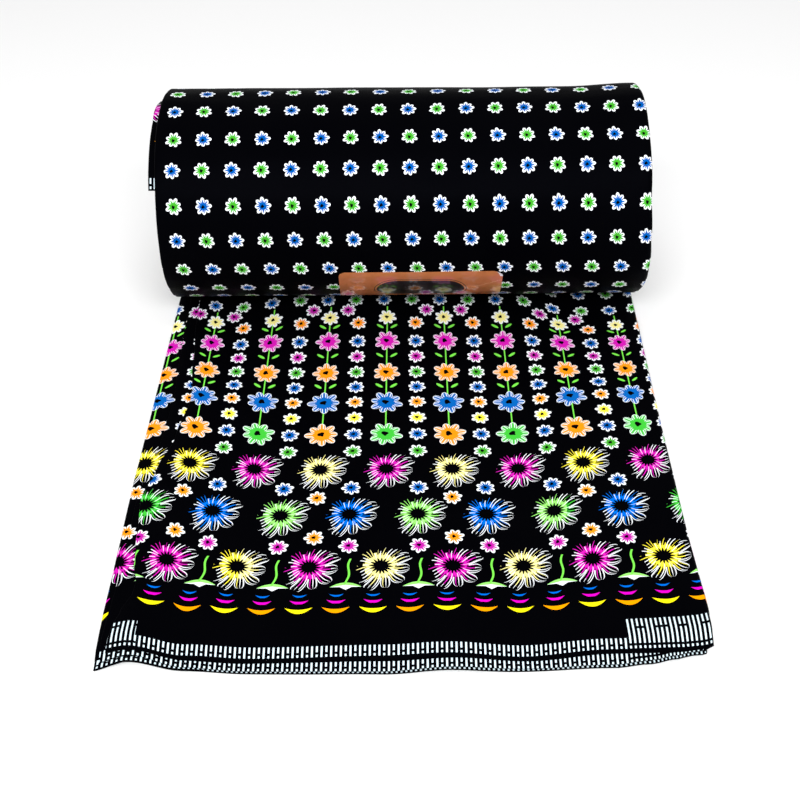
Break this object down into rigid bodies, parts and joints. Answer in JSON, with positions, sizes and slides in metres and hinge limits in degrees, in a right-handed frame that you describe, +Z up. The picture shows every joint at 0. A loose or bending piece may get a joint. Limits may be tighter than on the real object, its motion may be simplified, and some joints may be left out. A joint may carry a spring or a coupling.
{
  "type": "wax print fabric, folded and half rolled",
  "caption": "Length of black wax print cloth with flower print and border, folded to a narrow stack, laid out flat in front and rolled up behind, with a foil sticker on the roll.",
  "frame": {"origin": "centre of the bounding box's base, on the surface the cloth lies on", "axes": "+X across the folded width, to the viewer's right; +Y from the hem towards the roll; +Z up"},
  "size_m": [0.3498, 0.4464, 0.1575],
  "materials": {
    "printed_cotton": "waxed black cotton with coloured flower print, slight sheen",
    "copper_foil": null
  },
  "bodies": {
    "root": {"apron_lower_layers": "printed_cotton", "apron_middle_layers": "printed_cotton", "apron_upper_layers": "printed_cotton", "roll_outer_turn": "printed_cotton", "roll_inner_turn": "printed_cotton", "label": "copper_foil"}
  },
  "joints": []
}
